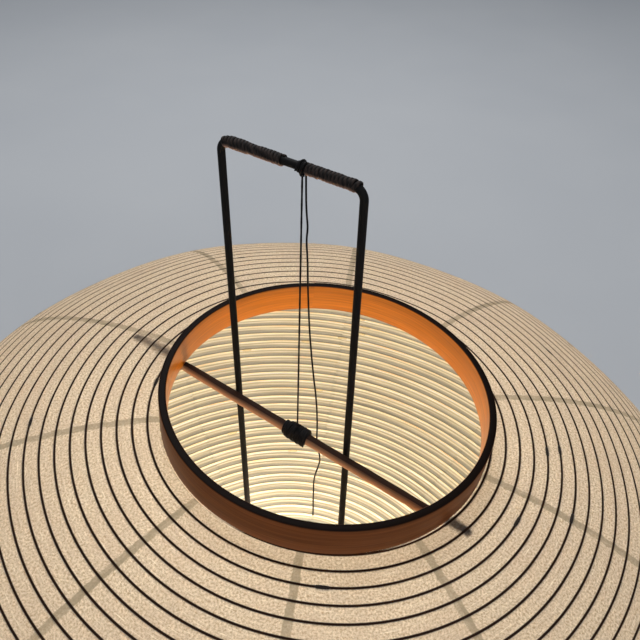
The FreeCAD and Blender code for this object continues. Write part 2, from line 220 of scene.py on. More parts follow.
class LanternLight(bpy.types.PropertyGroup):
    lamp: bpy.props.FloatProperty(
        name="Lamp", description="Power of the lamp in the shade", default=3.8, min=0.0,
        subtype="POWER", unit="POWER")
    key: bpy.props.FloatProperty(
        name="Key", description="Power of the large soft light overhead", default=28.0, min=0.0,
        subtype="POWER", unit="POWER")
    sky: bpy.props.FloatProperty(
        name="Surroundings", description="Strength of the even light from all round", default=0.34,
        min=0.0, soft_max=2.0, subtype="FACTOR")
    floor: colour("Floor", "b9bcc0")


GROUPS = {"lantern_sizes": LanternSizes, "lantern_colours": LanternColours, "lantern_light": LanternLight}


# ---- shade frame -------------------------------------------------------------------------------
ALONG = Vector(JOINTS["shade_swing"]["axis"]).normalized()
UP = Vector(JOINTS["shade_fold"]["axis"]).normalized()
ACROSS = UP.cross(ALONG)
HANG_POINT = np.array(JOINTS["shade_swing"]["pos_m"])
TURN = np.array([ALONG, ACROSS, UP])


def hung(points):
    """World places of level shade points: turned onto the leaning axes about the point on the
    dowel's axis under the lashing, and moved to where that point hangs."""
    level = np.asarray(points, float) - (LASHING_X, DOWEL_Y, DOWEL_Z)
    return HANG_POINT + (level * MM) @ TURN


def measured_outline(steps=700):
    """Distance, radius and height of the paper's outline from the top hoop to the bottom hoop.

    Radius is SHADE_R times the sine of a turning angle to the power 2/n, and height is DOME_B times
    its cosine to the power 2/m, levelled off at the hoop by a soft minimum. The lower half mirrors it.
    """
    first = math.asin((HOOP_R / SHADE_R) ** (DOME_N / 2))
    turn = np.linspace(first, math.pi / 2, steps)
    radius = SHADE_R * np.sin(turn) ** (2 / DOME_N)
    dome = DOME_B * np.clip(np.cos(turn), 0, 1) ** (2 / DOME_M)
    level = SHADE_HALF + 0.1
    height = -ROUNDING * np.log(np.exp(-dome / ROUNDING) + math.exp(-level / ROUNDING))
    height[-1] = 0
    radius = np.concatenate([radius, radius[-2::-1]])
    height = np.concatenate([height, -height[-2::-1]])
    legs = np.hypot(np.diff(radius), np.diff(height))
    return np.concatenate([[0], np.cumsum(legs)]), radius, height


LINE_S, LINE_R, LINE_Z = measured_outline()
LENGTH = LINE_S[-1]
SLOPE_R = np.gradient(LINE_R, LINE_S)
SLOPE_Z = np.gradient(LINE_Z, LINE_S)


def stick_radius(x):
    """Half the stick's thickness along its length: straight tapers down to the two whittled tips."""
    ends = ((x - DOWEL_X[0], DOWEL_LEFT_TIP), (DOWEL_X[1] - x, DOWEL_RIGHT_TIP))
    return np.minimum(*[np.clip(into / run, 0, 1) * (DOWEL_D - tip) / 2 + tip / 2
                        for into, (tip, run) in ends])


def shade_surface(angle, distance, inward):
    """Level points of the shade: its outline at a distance from the top hoop, moved inwards at right
    angles to itself and turned by an angle in degrees. Over the dowel's two tips the top rises into a
    tent that falls off to each side of the stick."""
    turn = np.radians(angle)
    radius = np.interp(distance, LINE_S, LINE_R) + inward * np.interp(distance, LINE_S, SLOPE_Z)
    height = MID_Z + np.interp(distance, LINE_S, LINE_Z) - inward * np.interp(distance, LINE_S, SLOPE_R)
    x, y = radius * np.cos(turn), radius * np.sin(turn)
    past = np.clip(np.maximum(DOWEL_X[0] - x, x - DOWEL_X[1]), 0, None)
    aside = y - DOWEL_Y
    tent = DOWEL_Z + stick_radius(x) + TENT_GAP - inward
    tent = tent - TENT_FALL[0] * np.hypot(aside, 3) - TENT_FALL[1] * past
    tent = tent - (aside / TENT_REACH[0]) ** 2 - (past / TENT_REACH[1]) ** 2
    rise = np.logaddexp(height / TENT_SOFT, tent / TENT_SOFT) * TENT_SOFT
    on_top = np.clip((distance - 1.0) / 4.0, 0, 1) * (distance < LENGTH / 2)
    return np.stack([x, y, height + (rise - height) * on_top], -1)


def rib_turns(angle, distance, pitch):
    """Turns of the rib's spiral: a whole number where the rib lies, so it moves out by one pitch in
    each turn round the shade."""
    return distance / pitch - (angle - RIB_START) / 360


def ridges(angle, distance, height):
    """Inward offset that lifts the paper at each seam and lets it in between: one wave to a strip,
    dying out at both hoops."""
    fade = np.clip(np.sin(np.pi * distance / LENGTH), 0, 1) ** 0.5
    return -height * fade * np.cos(np.radians((angle - SEAM_AT) * GORES))


# ---- meshes ------------------------------------------------------------------------------------
def grid_piece(name, points, uv, values=None, inside_out=False):
    """A mesh from grids of points shaped (grids, rows, columns, 3): each four neighbours make a face,
    and points that coincide, at seams and poles, are merged into one."""
    points = np.asarray(points, float)
    if points.ndim == 3:
        points, uv = points[None], uv[None]
    count, rows, cols = points.shape[:3]
    corner = (np.arange(count)[:, None, None] * rows * cols
              + np.arange(rows - 1)[None, :, None] * cols + np.arange(cols - 1)[None, None, :])
    faces = np.stack([corner, corner + 1, corner + cols + 1, corner + cols], -1).reshape(-1, 4)
    if inside_out:
        faces = faces[:, ::-1]
    mesh = bpy.data.meshes.new(name)
    mesh.from_pydata(points.reshape(-1, 3).tolist(), [], faces.tolist())
    layer = mesh.uv_layers.new(name="UVMap")
    layer.data.foreach_set("uv", uv.reshape(-1, 2)[faces.reshape(-1)].astype(np.float32).ravel())
    for key, value in (values or {}).items():
        attribute = mesh.attributes.new(key, "FLOAT", "POINT")
        spread = np.broadcast_to(value, points.shape[:3])
        attribute.data.foreach_set("value", spread.astype(np.float32).ravel())
    welded = bmesh.new()
    welded.from_mesh(mesh)
    bmesh.ops.remove_doubles(welded, verts=welded.verts, dist=2e-7)
    bmesh.ops.dissolve_degenerate(welded, edges=welded.edges, dist=1e-8)
    welded.to_mesh(mesh)
    welded.free()
    mesh.polygons.foreach_set("use_smooth", np.ones(len(mesh.polygons), bool))
    made = bpy.data.objects.new(name, mesh)
    bpy.context.scene.collection.objects.link(made)
    return made


def swept(path, across, wide, thick, sides=8, square=1.0, closed_ends=True):
    """Grids of points round paths shaped (paths, stops, 3), and their UV in metres.

    At each stop a ring stands at right angles to the path: half the width sideways times cosine, plus
    half the thickness along the given direction times sine, each to a power that squares it off. A
    ring shrunk to the path itself closes each end.
    """
    path = np.asarray(path, float)
    if path.ndim == 2:
        path = path[None]
    forward = np.gradient(path, axis=1)
    forward /= np.linalg.norm(forward, axis=-1, keepdims=True)
    up = np.broadcast_to(np.asarray(across, float), path.shape)
    up = up - (up * forward).sum(-1, keepdims=True) * forward
    up /= np.linalg.norm(up, axis=-1, keepdims=True)
    side = np.cross(up, forward)
    turn = np.linspace(0, 2 * np.pi, sides + 1)
    c, s = np.cos(turn), np.sin(turn)
    c, s = np.sign(c) * np.abs(c) ** square, np.sign(s) * np.abs(s) ** square
    half_w = np.broadcast_to(np.asarray(wide, float) / 2, path.shape[:2])[..., None, None]
    half_t = np.broadcast_to(np.asarray(thick, float) / 2, path.shape[:2])[..., None, None]
    rings = (path[:, :, None] + half_w * c[None, None, :, None] * side[:, :, None]
             + half_t * s[None, None, :, None] * up[:, :, None])
    run = np.concatenate([np.zeros((len(path), 1)),
                          np.cumsum(np.linalg.norm(np.diff(path, axis=1), axis=-1), axis=1)], 1)
    if closed_ends:
        shape = (len(path), 1, sides + 1, 3)
        rings = np.concatenate([np.broadcast_to(path[:, :1, None], shape), rings,
                                np.broadcast_to(path[:, -1:, None], shape)], 1)
        run = np.concatenate([run[:, :1], run, run[:, -1:]], 1)
    around = np.broadcast_to(turn / (2 * np.pi) * np.mean(wide) * np.pi, rings.shape[:3])
    return rings, np.stack([around, np.broadcast_to(run[..., None], rings.shape[:3])], -1)


def finished(piece, material, body, slot, *nodes):
    """Give a piece its material and its body, and hide the CAD nodes that it stands for; slot is not
    used.
    """
    piece.data.materials.append(material)
    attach(piece, body)
    if nodes:
        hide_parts(*nodes)
    return piece


def paint_nodes(given):
    """Give CAD nodes, which keep their shapes, their materials."""
    for node, material in given.items():
        for slot in frame["nodes"][node].material_slots:
            slot.material = material


def folds(piece):
    """Give a piece of the shade its own copy of its mesh."""
    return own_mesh(piece)


# ---- materials ---------------------------------------------------------------------------------
def new_material(name):
    """An empty node material and its output."""
    made = bpy.data.materials.new(name)
    made.use_nodes = True
    tree = made.node_tree
    tree.nodes.clear()
    return made, tree, tree.nodes.new("ShaderNodeOutputMaterial")


def add(tree, kind, feeds=None, **settings):
    """Add a shader node: settings are its options, and feeds give its inputs a value or another's
    output."""
    made = tree.nodes.new("ShaderNode" + kind)
    for key, value in settings.items():
        setattr(made, key, value)
    for key, value in (feeds or {}).items():
        if isinstance(value, bpy.types.NodeSocket):
            tree.links.new(value, made.inputs[key])
        else:
            made.inputs[key].default_value = value
    return made


def rgba(value):
    return tuple(value) + (1.0,)


def surface(tree, output, base, rough, bump=None, height=0.0, strength=0.3, **values):
    """Finish a material with one Principled shader; base, rough and bump may be sockets."""
    feeds = {"Base Color": base, "Roughness": rough}
    feeds.update({key.replace("_", " "): value for key, value in values.items()})
    if bump is not None:
        feeds["Normal"] = add(tree, "Bump",
                              {"Height": bump, "Distance": height, "Strength": strength}).outputs[0]
    shader = add(tree, "BsdfPrincipled", feeds)
    tree.links.new(shader.outputs[0], output.inputs[0])
    return shader


def kozo_paper(colours, sizes):
    """Kozo paper, sheet-formed by hand and glued over the ribs.

    The long fibres give a cloudy mottle of thick and thin with a few bright threads, dull and
    slightly rough. Light from the lamp comes through it warm; the rib's shadow is painted on it as a
    sharp dark line, and the glued seam shows as a dull band. On the lamp's side each gap is painted
    bright under a rib and shaded above the next, as the lamp's light and shade.
    """
    made, tree, out = new_material("kozo_paper_hand_formed")
    uv = add(tree, "UVMap", uv_map="UVMap").outputs[0]
    # Fibre clumps are about 1.2 mm, drawn a little coarser than real so that they show.
    mottle = add(tree, "TexNoise", {"Vector": uv, "Scale": 820.0, "Detail": 4.0,
                                    "Roughness": 0.68}).outputs[0]
    clouds = add(tree, "TexNoise", {"Vector": uv, "Scale": 32.0, "Detail": 3.0,
                                    "Roughness": 0.55}).outputs[0]
    threads = []
    for angle in (0.5, 2.1):
        # Threads about 12 mm long and 0.5 mm thick, lying two ways.
        lie = add(tree, "Mapping", {"Vector": uv, "Rotation": (0, 0, angle), "Scale": (70, 1500, 1)})
        line = add(tree, "TexNoise", {"Vector": lie.outputs[0], "Scale": 1.0, "Detail": 1.5})
        threads.append(line.outputs[0])
    thread = add(tree, "Math", {0: threads[0], 1: threads[1]}, operation="MAXIMUM").outputs[0]
    thread = add(tree, "MapRange", {"Value": thread, "From Min": 0.64, "From Max": 0.76,
                                    "To Max": 0.5}).outputs[0]
    thick = add(tree, "MapRange", {"Value": mottle, "From Min": 0.36, "From Max": 0.64}).outputs[0]
    body = add(tree, "Mix", {0: thick, 6: rgba(colours.paper_dark), 7: rgba(colours.paper_light)},
               data_type="RGBA").outputs[2]
    cloudy = add(tree, "MapRange", {"Value": clouds, "From Min": 0.3, "From Max": 0.7,
                                              "To Min": 0.35, "To Max": 0.0}).outputs[0]
    body = add(tree, "Mix", {0: cloudy, 6: body, 7: linear("b8a391")}, data_type="RGBA").outputs[2]
    body = add(tree, "Mix", {0: thread, 6: body, 7: linear("fff6e4")}, data_type="RGBA").outputs[2]
    # The seam: two strips overlap, so less light comes through and the band looks duller.
    edge = add(tree, "Attribute", attribute_name="edge").outputs["Fac"]
    tear = add(tree, "TexNoise", {"Vector": uv, "Scale": 150.0, "Detail": 3.0,
                                  "Roughness": 0.7}).outputs[0]
    ragged = add(tree, "Math", {0: tear, 1: 0.003, 2: edge}, operation="MULTIPLY_ADD").outputs[0]
    half = sizes.seam_width / 2 + 0.0015
    glued = add(tree, "MapRange", {"Value": clouds, "From Min": 0.35, "From Max": 0.65,
                                             "To Min": 0.5, "To Max": 0.85}).outputs[0]
    seam = add(tree, "MapRange", {"Value": ragged, "From Min": half + 0.0003, "From Max": half - 0.0003,
                                            "To Max": glued}).outputs[0]
    body = add(tree, "Mix", {0: seam, 6: body, 7: rgba(colours.seam)}, data_type="RGBA").outputs[2]
    # The edge turned up against the hoop is painted bright, as painted light coming through its single
    # thickness.
    lip = add(tree, "Attribute", attribute_name="lip").outputs["Fac"]
    body = add(tree, "Mix", {0: lip, 6: body, 7: linear("ffe9d6")}, data_type="RGBA").outputs[2]
    # Painted shadow: the stick's tips lie against the paper and shade it, brownish near the hoop and grey
    # further out.
    tip = add(tree, "Attribute", attribute_name="tip").outputs["Fac"]
    far = add(tree, "Attribute", attribute_name="far").outputs["Fac"]
    stain = add(tree, "Mix", {0: far, 6: linear("63513f"), 7: linear("24242c")},
                data_type="RGBA").outputs[2]
    body = add(tree, "Mix", {0: tip, 6: body, 7: stain}, data_type="RGBA").outputs[2]
    # The rib's painted shadow: a dark line set by the distance in turns to the nearest whole turn of the
    # spiral.
    turns = add(tree, "Attribute", attribute_name="turns").outputs["Fac"]
    part = add(tree, "Math", {0: turns}, operation="FRACT").outputs[0]
    near = add(tree, "Math", {0: turns, 1: 1.0}, operation="PINGPONG").outputs[0]
    near = add(tree, "Math", {0: near, 1: 0.5}, operation="SUBTRACT").outputs[0]
    near = add(tree, "Math", {0: near}, operation="ABSOLUTE").outputs[0]
    near = add(tree, "Math", {0: 0.5, 1: near}, operation="SUBTRACT").outputs[0]
    reach = sizes.rib_width / sizes.rib_pitch / 2
    line = add(tree, "MapRange", {"Value": near, "From Min": reach * 1.3,
                                  "From Max": reach * 0.75}).outputs[0]
    outer = add(tree, "Mix", {0: line, 6: body, 7: rgba(colours.rib_shadow)}, data_type="RGBA").outputs[2]
    # Painted light and shade on the lamp's side: the ramp below repeats between ribs, bright under each
    # rib and shaded above the next.
    drift = add(tree, "Mapping", {"Vector": uv, "Scale": (11, 70, 1)}).outputs[0]
    drift = add(tree, "TexNoise", {"Vector": drift, "Scale": 1.0, "Detail": 2.0}).outputs[0]
    waver = add(tree, "Math", {0: drift, 1: 0.34, 2: part}, operation="MULTIPLY_ADD").outputs[0]
    waver = add(tree, "Math", {0: waver, 1: 0.17}, operation="SUBTRACT").outputs[0]
    band = add(tree, "ValToRGB", {"Fac": waver})
    ramp = band.color_ramp
    bright, shade = rgba(colours.paper_inside_lit), rgba(colours.paper_inside_shaded)
    stops = ((0.0, bright), (0.13, bright), (0.22, linear("ddcfa8")), (0.31, linear("cfc6a6")),
             (0.40, linear("fff9ea")), (0.50, linear("e2d2ac")), (0.60, shade), (0.97, linear("94938a")),
             (1.0, bright))
    ramp.elements[0].position, ramp.elements[0].color = stops[0]
    ramp.elements[1].position, ramp.elements[1].color = stops[-1]
    for place, tint in stops[1:-1]:
        ramp.elements.new(place).color = tint
    streaks = add(tree, "Mapping", {"Vector": uv, "Scale": (14, 520, 1)}).outputs[0]
    streaks = add(tree, "TexNoise", {"Vector": streaks, "Scale": 1.0, "Detail": 2.0}).outputs[0]
    streaks = add(tree, "MapRange", {"Value": streaks, "From Min": 0.3, "From Max": 0.7,
                                               "To Min": 0.6, "To Max": 1.0}).outputs[0]
    inner = add(tree, "Mix", {0: 1.0, 6: band.outputs[0], 7: streaks}, data_type="RGBA",
                blend_type="MULTIPLY").outputs[2]
    inner = add(tree, "Mix", {0: 0.85, 6: body, 7: inner}, data_type="RGBA").outputs[2]
    side = add(tree, "NewGeometry").outputs["Backfacing"]
    shown = add(tree, "Mix", {0: side, 6: outer, 7: inner}, data_type="RGBA").outputs[2]
    relief = add(tree, "Math", {0: thread, 1: 0.5, 2: mottle}, operation="MULTIPLY_ADD").outputs[0]
    normal = add(tree, "Bump", {"Height": relief, "Distance": 0.0003, "Strength": 0.35}).outputs[0]
    dull = add(tree, "BsdfPrincipled", {"Base Color": shown, "Roughness": 0.82, "Normal": normal,
                                                  "IOR": 1.45, "Specular IOR Level": 0.3})
    through = add(tree, "BsdfTranslucent", {"Color": shown})
    mixed = add(tree, "MixShader", {0: 0.36, 1: dull.outputs[0], 2: through.outputs[0]})
    tree.links.new(mixed.outputs[0], out.inputs[0])
    return made


def split_bamboo(colours):
    """Bamboo, split and scraped: pale straw, with straight fibres 0.3 mm wide along the strip."""
    made, tree, out = new_material("bamboo_split_scraped")
    uv = add(tree, "UVMap", uv_map="UVMap").outputs[0]
    lie = add(tree, "Mapping", {"Vector": uv, "Scale": (3200, 60, 1)}).outputs[0]
    fibre = add(tree, "TexNoise", {"Vector": lie, "Scale": 1.0, "Detail": 3.0}).outputs[0]
    stain = add(tree, "TexNoise", {"Vector": uv, "Scale": 14.0, "Detail": 1.0}).outputs[0]
    tone = add(tree, "Mix", {0: fibre, 6: linear("e6cf9f"), 7: rgba(colours.bamboo)},
               data_type="RGBA").outputs[2]
    worn = add(tree, "MapRange", {"Value": stain, "From Min": 0.5, "From Max": 0.7,
                                  "To Max": 0.6}).outputs[0]
    tone = add(tree, "Mix", {0: worn, 6: tone, 7: linear("f0c48c")}, data_type="RGBA").outputs[2]
    surface(tree, out, tone, 0.5, fibre, 0.0001)
    return made


def paper_wrap():
    """Kozo paper strip glued round two bamboo ends: straw-coloured on the lamp's side and painted dark on
    the side pressed to the shade, as the shadow it casts through the paper; matt and wrinkled at 1 mm."""
    made, tree, out = new_material("paper_wrap_glued")
    uv = add(tree, "UVMap", uv_map="UVMap").outputs[0]
    crease = add(tree, "TexNoise", {"Vector": uv, "Scale": 1000.0, "Detail": 2.0}).outputs[0]
    tone = add(tree, "Mix", {0: crease, 6: linear("bda77e"), 7: linear("ecdcb4")},
               data_type="RGBA").outputs[2]
    # Painted shadow: the side pressed to the shade is painted dark.
    shadow_side = add(tree, "Mix", {0: crease, 6: linear("1c1714"), 7: linear("3a3029")},
               data_type="RGBA").outputs[2]
    lamp_side = add(tree, "Attribute", attribute_name="lamp_side").outputs["Fac"]
    tone = add(tree, "Mix", {0: lamp_side, 6: shadow_side, 7: tone}, data_type="RGBA").outputs[2]
    surface(tree, out, tone, 0.8, crease, 0.0002, Specular_IOR_Level=0.2)
    return made


def steamed_ash(colours):
    """Ash veneer, steam-bent and oiled: long pores run round the hoop, 0.4 mm apart. The inner face is
    painted deep orange as lit by the lamp and the outer face a shaded brown; oil gives the inner face a
    low sheen, and the cut rims are painted nearly black as shade."""
    made, tree, out = new_material("ash_steam_bent_oiled")
    uv = add(tree, "UVMap", uv_map="UVMap").outputs[0]
    lie = add(tree, "Mapping", {"Vector": uv, "Scale": (16, 1100, 1)}).outputs[0]
    grain = add(tree, "TexNoise", {"Vector": lie, "Scale": 1.0, "Detail": 5.0,
                                   "Roughness": 0.6}).outputs[0]
    broad = add(tree, "Mapping", {"Vector": uv, "Scale": (5, 130, 1)}).outputs[0]
    figure = add(tree, "TexNoise", {"Vector": broad, "Scale": 1.0, "Detail": 2.0}).outputs[0]
    # Painted light and shade: the inner face is painted lamp-lit orange, the outer face a shaded brown.
    side = add(tree, "Attribute", attribute_name="side").outputs["Fac"]
    tone = add(tree, "Mix", {0: side, 6: rgba(colours.hoop_inside_lamplit), 7: rgba(colours.hoop_outside_shaded)},
               data_type="RGBA").outputs[2]
    pores = add(tree, "MapRange", {"Value": grain, "From Min": 0.35, "From Max": 0.7,
                                             "To Min": 0.62, "To Max": 1.12}).outputs[0]
    tone = add(tree, "Mix", {0: 1.0, 6: tone, 7: pores}, data_type="RGBA",
               blend_type="MULTIPLY").outputs[2]
    bands = add(tree, "MapRange", {"Value": figure, "From Min": 0.35, "From Max": 0.65,
                                             "To Min": 0.82, "To Max": 1.1}).outputs[0]
    tone = add(tree, "Mix", {0: 1.0, 6: tone, 7: bands}, data_type="RGBA",
               blend_type="MULTIPLY").outputs[2]
    # Painted shade: the rims are painted nearly black.
    rim = add(tree, "Attribute", attribute_name="rim").outputs["Fac"]
    tone = add(tree, "Mix", {0: rim, 6: tone, 7: rgba(colours.hoop_rim_shaded)}, data_type="RGBA").outputs[2]
    gloss = add(tree, "MapRange", {"Value": grain, "To Min": 0.32, "To Max": 0.5}).outputs[0]
    gloss = add(tree, "Math", {0: rim, 1: 0.4, 2: gloss}, operation="MULTIPLY_ADD",
                use_clamp=True).outputs[0]
    dry = add(tree, "Math", {0: side, 1: rim}, operation="MAXIMUM").outputs[0]
    shine = add(tree, "MapRange", {"Value": dry, "To Min": 0.5, "To Max": 0.04}).outputs[0]
    surface(tree, out, tone, gloss, grain, 0.0002, 0.35, IOR=1.5, Specular_IOR_Level=shine,
            Coat_Weight=shine, Coat_Roughness=0.3)
    return made


def stained_stick(colours):
    """Round stick of turned beech, stained and rubbed: grain 0.6 mm wide runs along it, its top is
    painted dark as shade and its underside is a clear red-brown."""
    made, tree, out = new_material("beech_turned_stained")
    uv = add(tree, "UVMap", uv_map="UVMap").outputs[0]
    lie = add(tree, "Mapping", {"Vector": uv, "Scale": (1400, 22, 1)}).outputs[0]
    grain = add(tree, "TexNoise", {"Vector": lie, "Scale": 1.0, "Detail": 4.0}).outputs[0]
    tone = add(tree, "Mix", {0: grain, 6: linear("a97c5a"), 7: rgba(colours.dowel)},
               data_type="RGBA").outputs[2]
    # Painted shade: the upper side, away from the lamp, is painted dark.
    top_shade = add(tree, "Attribute", attribute_name="top").outputs["Fac"]
    top_shade = add(tree, "Math", {0: grain, 1: 0.3, 2: top_shade}, operation="MULTIPLY_ADD").outputs[0]
    top_shade = add(tree, "MapRange", {"Value": top_shade, "From Min": 0.62, "From Max": 1.05,
                                  "To Max": 0.97}).outputs[0]
    tone = add(tree, "Mix", {0: top_shade, 6: tone, 7: rgba(colours.dowel_top_shaded)}, data_type="RGBA").outputs[2]
    surface(tree, out, tone, 0.8, grain, 0.00015, Specular_IOR_Level=0.12)
    return made


def twisted_cord(name, tint, lift, pitch):
    """Cotton cord, twisted from two plies and waxed: the plies cross it in slanting ridges, with a low
    sheen on their backs and fluff in the grooves. Where a piece marks its underside, that side is painted
    paler, as lit by the lamp from below."""
    made, tree, out = new_material(name)
    uv = add(tree, "UVMap", uv_map="UVMap").outputs[0]
    wave = add(tree, "TexWave", {"Vector": uv, "Scale": 0.314 / pitch, "Distortion": 1.2, "Detail": 1.0,
                                           "Detail Scale": 2.0}, bands_direction="DIAGONAL").outputs[1]
    place = add(tree, "TexCoord").outputs["Object"]
    fluff = add(tree, "TexNoise", {"Vector": place, "Scale": 900.0, "Detail": 2.0}).outputs[0]
    tone = add(tree, "Mix", {0: wave, 6: rgba(tint), 7: lift}, data_type="RGBA").outputs[2]
    tone = add(tree, "Mix", {0: fluff, 6: tone, 7: rgba(tint)}, data_type="RGBA").outputs[2]
    # Painted light: the underside, lit by the lamp from below, is painted paler.
    clean = add(tree, "Attribute", attribute_name="clean").outputs["Fac"]
    tone = add(tree, "Mix", {0: clean, 6: tone, 7: linear("b08a78")}, data_type="RGBA").outputs[2]
    surface(tree, out, tone, 0.7, wave, 0.0002, 0.6, Specular_IOR_Level=0.2, Sheen_Weight=0.03)
    return made


def plain_cord(colours):
    """The same cotton cord where it is a single thin line: only its fluff and uneven wax show."""
    made, tree, out = new_material("cotton_cord_waxed")
    place = add(tree, "TexCoord").outputs["Object"]
    fluff = add(tree, "TexNoise", {"Vector": place, "Scale": 1400.0, "Detail": 3.0}).outputs[0]
    tone = add(tree, "Mix", {0: fluff, 6: rgba(colours.cord), 7: linear("151212")},
               data_type="RGBA").outputs[2]
    surface(tree, out, tone, 0.7, fluff, 0.0002, 0.5, Specular_IOR_Level=0.2, Sheen_Weight=0.03)
    return made


def grained(name, tones, rough, scale, stretch=(1, 1, 1), relief=0.0001, strength=0.25, detail=3.0,
            **values):
    """A surface with one grain: noise in Object coordinates, stretched the way that it was worked,
    sets the colour between two tones, the roughness between two values and a fine relief."""
    made, tree, out = new_material(name)
    place = add(tree, "TexCoord").outputs["Object"]
    lie = add(tree, "Mapping", {"Vector": place, "Scale": stretch}).outputs[0]
    grain = add(tree, "TexNoise", {"Vector": lie, "Scale": scale, "Detail": detail}).outputs[0]
    tone = add(tree, "Mix", {0: grain, 6: linear(tones[0]), 7: linear(tones[1])},
               data_type="RGBA").outputs[2]
    gloss = add(tree, "MapRange", {"Value": grain, "To Min": rough[0], "To Max": rough[1]}).outputs[0]
    surface(tree, out, tone, gloss, grain, relief, strength, **values)
    return made


def screw_cap():
    """Aluminium, pressed and rolled: a bright dull metal whose thread shows as bands 3.6 mm apart."""
    made, tree, out = new_material("aluminium_rolled_thread")
    place = add(tree, "TexCoord").outputs["Object"]
    bands = add(tree, "TexWave", {"Vector": place, "Scale": 87.0}, bands_direction="Z").outputs[1]
    specks = add(tree, "TexNoise", {"Vector": place, "Scale": 1500.0}).outputs[0]
    tone = add(tree, "Mix", {0: specks, 6: linear("9c9c99"), 7: linear("cfcfcb")},
               data_type="RGBA").outputs[2]
    surface(tree, out, tone, 0.34, bands, 0.0008, 0.8, Metallic=1.0)
    return made


def lamp_glass():
    """Soda-lime glass, blown thin and clear: it is seen by its edges and reflections, which grow
    towards the outline, with a faint warm tint."""
    made, tree, out = new_material("glass_blown_clear")
    place = add(tree, "TexCoord").outputs["Object"]
    flow = add(tree, "TexNoise", {"Vector": place, "Scale": 60.0}).outputs[0]
    normal = add(tree, "Bump", {"Height": flow, "Distance": 0.0002, "Strength": 0.1}).outputs[0]
    clear = add(tree, "BsdfTransparent", {"Color": linear("fdf6ea")})
    shine = add(tree, "BsdfGlossy", {"Color": linear("ffffff"), "Roughness": 0.03, "Normal": normal})
    share = add(tree, "Fresnel", {"IOR": 1.45, "Normal": normal}).outputs[0]
    behind = add(tree, "NewGeometry").outputs["Backfacing"]
    front = add(tree, "Math", {0: 1.0, 1: behind}, operation="SUBTRACT").outputs[0]
    share = add(tree, "Math", {0: share, 1: front}, operation="MULTIPLY").outputs[0]
    mixed = add(tree, "MixShader", {0: share, 1: clear.outputs[0], 2: shine.outputs[0]})
    tree.links.new(mixed.outputs[0], out.inputs[0])
    return made


def glowing_filament():
    """Phosphor-coated filament rods, lit: even warm light, a little brighter where the coat is thin."""
    made, tree, out = new_material("phosphor_rod_lit")
    place = add(tree, "TexCoord").outputs["Object"]
    coat = add(tree, "TexNoise", {"Vector": place, "Scale": 700.0}).outputs[0]
    tone = add(tree, "Mix", {0: coat, 6: linear("ffb347"), 7: linear("ffe0a0")},
               data_type="RGBA").outputs[2]
    surface(tree, out, linear("e8b050"), 0.6, None, Emission_Color=tone, Emission_Strength=22.0)
    return made


# ---- pieces ------------------------------------------------------------------------------------
def paper_strip(k, sizes):
    """One paper strip: rows run from hoop to hoop and columns across a tenth of the way round.

    A row's distance from the hoop and a column's angle give the outline point, moved inwards by the
    sag between ribs, which is a squared sine of the spiral's turns, and outwards at the seams. The
    first and last rows turn up against the hoops as a short lip.
    """
    cols = np.linspace(0, 1, PAPER_GRID[1])
    rows = np.linspace(PAPER_EDGE, LENGTH - PAPER_EDGE, PAPER_GRID[0])
    angle = (SEAM_AT + 360 / GORES * (k + cols))[None, :]
    distance = rows[:, None]
    pitch = sizes.rib_pitch / MM
    turns = rib_turns(angle, distance, pitch)
    ends = np.clip(np.minimum(distance, LENGTH - distance) / pitch, 0, 1)
    sag = sizes.pillow / MM * np.sin(np.pi * turns) ** 2 * ends
    inward = sag + ridges(angle, distance, sizes.ridge / MM)
    flat = shade_surface(angle, distance, inward)
    turn, hug, lip = np.radians(angle[0]), HOOP_R + LIP_GAP, sizes.lip / MM
    foot = np.stack([hug * np.cos(turn), hug * np.sin(turn), 0 * turn], -1)
    top = [foot + (0, 0, lip - HOOP_H), foot - (0, 0, HOOP_H)]
    bottom = [foot + (0, 0, MID_Z - SHADE_HALF), foot + (0, 0, MID_Z - SHADE_HALF - lip)]
    level = np.concatenate([top, flat, bottom])
    full = np.concatenate([[0, 0], rows, [LENGTH, LENGTH]])[:, None]
    turns = rib_turns(angle, full, pitch)
    x, y = level[..., 0], level[..., 1]
    width = np.hypot(x, y) * math.radians(360 / GORES) * MM
    from_left, from_right = width * cols, width * (1 - cols)
    uv = np.stack([from_left - width / 2 + 3 * k, np.broadcast_to(full * MM, width.shape)], -1)
    # Masks for the painted shadow of the stick's tips on the paper, and for the lip rows painted bright.
    into = np.minimum(x - DOWEL_X[0] + TIP_SHADOW_REACH[0], DOWEL_X[1] + TIP_SHADOW_REACH[1] - x)
    aside = np.abs(y - DOWEL_Y) / (1.5 + np.clip(into / 22, 0, 1))
    tip = np.clip(into / 2, 0, 1) * np.clip(2.2 - aside, 0, 1) * (full < 60)
    far = np.clip(1.1 - into / 14, 0, 1)
    return grid_piece("paper_strip_%02d" % (k + 1), hung(level), uv,
                      {"turns": turns + 100, "edge": np.minimum(from_left, from_right),
                       "tip": tip * (0.6 + 0.35 * far), "far": far,
                       "lip": (full <= 0) | (full >= LENGTH)}, inside_out=True)


def spiral(first, last, sizes, steps=150):
    """Points along the rib's spiral from one turn to another, and the inward direction at each: the
    distance from the hoop grows by one pitch while the angle goes once round."""
    pitch = sizes.rib_pitch / MM
    turn = np.linspace(first, last, int(abs(last - first) * steps) + 1)
    angle = RIB_START + 360 * turn
    distance = np.clip(pitch * turn, 0.6, LENGTH - 0.6)
    base = ridges(angle, distance, sizes.ridge / MM)
    depth = sizes.rib_height / MM / 2 + 0.08
    here = hung(shade_surface(angle, distance, base + depth))
    deeper = hung(shade_surface(angle, distance, base + depth + 1))
    return here, deeper - here


